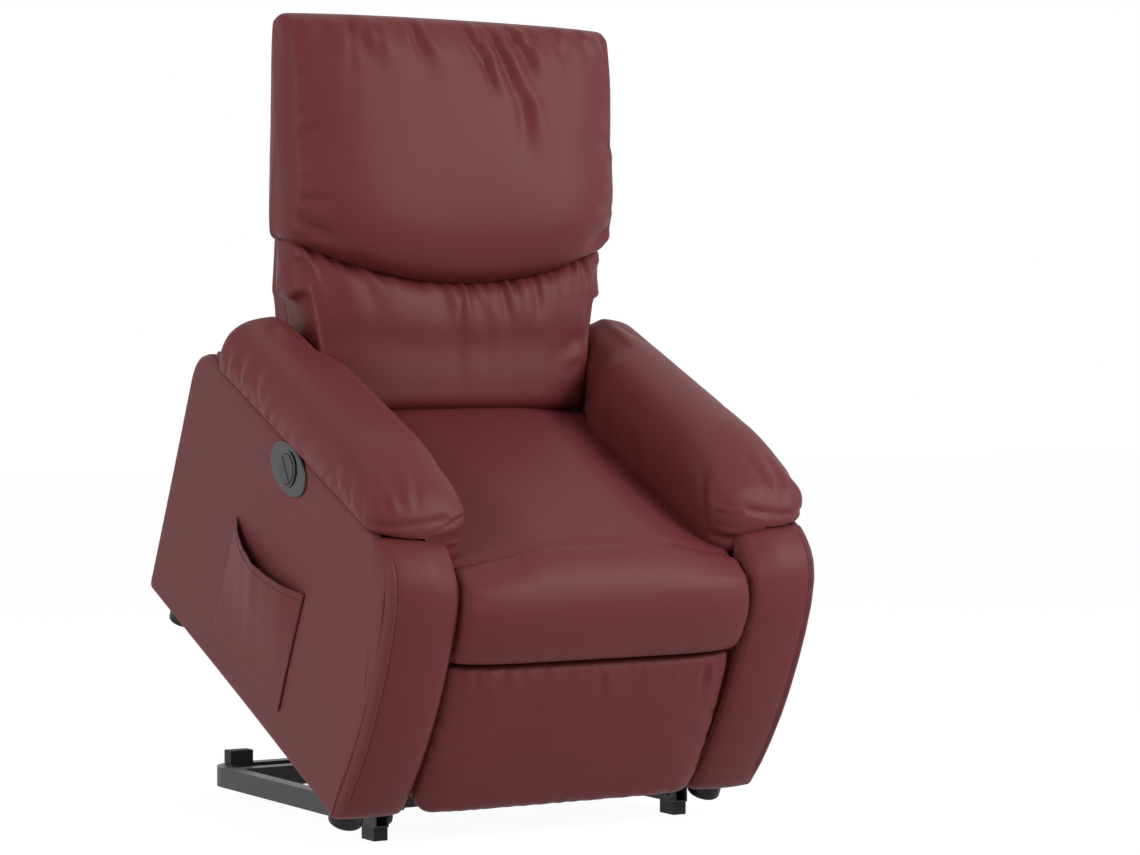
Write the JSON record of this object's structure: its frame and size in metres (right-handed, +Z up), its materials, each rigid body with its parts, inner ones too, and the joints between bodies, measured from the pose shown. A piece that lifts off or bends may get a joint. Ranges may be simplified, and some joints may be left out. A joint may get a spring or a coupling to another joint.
{
  "type": "lift recliner chair",
  "caption": "Powered lift and recline armchair on a steel base frame, with pillow arms, head and lumbar cushions, footrest, side pocket and an oval two-button control.",
  "frame": {"origin": "on the floor under the middle of the chair's bounding box, in the raised posture", "axes": "+Z up, the chair's front towards -Y, the sitter's right-hand side (control and pocket) towards -X"},
  "size_m": [0.7963, 0.8592, 1.2986],
  "materials": {
    "upholstery": "satin",
    "frame_steel": "satin",
    "bright_steel": "satin",
    "board": "matte",
    "black_plastic": "matte",
    "gloss_black": "gloss",
    "black_rubber": "matte"
  },
  "bodies": {
    "base": {"base_rear_bend": "frame_steel", "base_rails": "frame_steel", "base_cross_tubes": "frame_steel", "base_feet": "black_plastic", "stop_blocks": "black_rubber", "base_brackets": "frame_steel", "base_pivot_pins": "bright_steel", "actuator_clevis": "frame_steel"},
    "rear_lift_links": {"rear_lift_links": "frame_steel"},
    "front_lift_links": {"front_lift_links": "frame_steel"},
    "actuator_tube": {"actuator_housing": "black_plastic", "actuator_motor": "black_plastic"},
    "actuator_rod": {"actuator_rod": "bright_steel"},
    "chair": {"arm_outer_panel_left": "upholstery", "arm_outer_panel_right": "upholstery", "arm_front_left": "upholstery", "arm_front_right": "upholstery", "arm_pad_left": "upholstery", "arm_pad_right": "upholstery", "arm_inner_panels": "upholstery", "arm_rear_panels": "upholstery", "arm_base_boards": "board", "arm_top_boards": "board", "chair_feet": "black_plastic", "side_pocket": "upholstery", "control_bezel": "gloss_black", "control_ring": "gloss_black", "switch_cup": "black_plastic", "seat_cushion": "upholstery", "seat_frame": "board", "seat_springs": "bright_steel", "mechanism_plates": "frame_steel", "upper_rails": "frame_steel", "upper_rear_cross_tube": "frame_steel", "upper_front_cross_tube": "frame_steel", "actuator_front_clevis": "frame_steel", "upper_pivot_pins": "bright_steel", "recline_pins": "bright_steel", "rear_cover_panel": "upholstery", "power_unit": "black_plastic", "power_inlet": "bright_steel", "footrest_pivot_pins": "bright_steel"},
    "back": {"back_uprights": "frame_steel", "back_cross_rails": "frame_steel", "back_springs": "bright_steel", "outer_back_shell": "upholstery", "back_hinge_plates": "frame_steel", "head_cushion": "upholstery", "lumbar_cushion": "upholstery"},
    "footrest_upper": {"footrest_upper_links": "frame_steel", "footrest_torque_tube": "frame_steel", "knee_pins": "bright_steel"},
    "footrest_lower": {"footrest_lower_links": "frame_steel"},
    "footrest": {"footrest_board": "board", "footrest_brackets": "frame_steel", "footrest_hinge_pins": "bright_steel", "footrest_pad": "upholstery"},
    "raise_button": {"raise_button": "gloss_black"},
    "recline_button": {"recline_button": "gloss_black"}
  },
  "joints": [
    {"name": "lift", "type": "hinge", "parent": "base", "child": "rear_lift_links", "pos_m": [0, -0.09212, 0.07], "axis": [1, 0, 0], "range_deg": [-38.3, 0]},
    {"name": "chair_tilt", "type": "hinge", "parent": "rear_lift_links", "child": "chair", "pos_m": [0, 0.11715, 0.30537], "axis": [1, 0, 0], "range_deg": [0, 13.1]},
    {"name": "front_link", "type": "hinge", "parent": "base", "child": "front_lift_links", "pos_m": [0, -0.17998, 0.075], "axis": [1, 0, 0], "range_deg": [-59.06, 0]},
    {"name": "actuator_tilt", "type": "hinge", "parent": "base", "child": "actuator_tube", "pos_m": [0, 0.29798, 0.078], "axis": [1, 0, 0], "range_deg": [0, 4.86]},
    {"name": "actuator_stroke", "type": "slide", "parent": "actuator_tube", "child": "actuator_rod", "axis": [0, -0.9796, 0.2008], "range_m": [-0.07779, 0]},
    {"name": "back_recline", "type": "hinge", "parent": "chair", "child": "back", "pos_m": [0, 0.15201, 0.54834], "axis": [-1, 0, 0], "range_deg": [0, 25.5]},
    {"name": "footrest_upper", "type": "hinge", "parent": "chair", "child": "footrest_upper", "pos_m": [0, -0.23893, 0.28701], "axis": [-1, 0, 0], "range_deg": [0, 115.04]},
    {"name": "footrest_lower", "type": "hinge", "parent": "footrest_upper", "child": "footrest_lower", "pos_m": [0, -0.10632, 0.20676], "axis": [1, 0, 0], "range_deg": [0, 101.88]},
    {"name": "footrest_board", "type": "hinge", "parent": "footrest_lower", "child": "footrest", "pos_m": [0, -0.25362, 0.15853], "axis": [1, 0, 0], "range_deg": [-61.84, 0]},
    {"name": "raise_button", "type": "slide", "parent": "chair", "child": "raise_button", "axis": [1, 0, 0], "range_m": [0, 0.002], "stiffness_N_per_m": 600},
    {"name": "recline_button", "type": "slide", "parent": "chair", "child": "recline_button", "axis": [1, 0, 0], "range_m": [0, 0.002], "stiffness_N_per_m": 600}
  ],
  "couplings": [
    {"joint": "chair_tilt", "follows": "lift", "ratio": -0.34206},
    {"joint": "front_link", "follows": "lift", "ratio": 1.542},
    {"joint": "actuator_tilt", "follows": "lift", "ratio": -0.12679},
    {"joint": "actuator_stroke", "follows": "lift", "m_per_rad": 0.11636},
    {"joint": "footrest_upper", "follows": "back_recline", "ratio": 4.5114},
    {"joint": "footrest_lower", "follows": "back_recline", "ratio": 3.9954},
    {"joint": "footrest_board", "follows": "back_recline", "ratio": -2.4252}
  ]
}
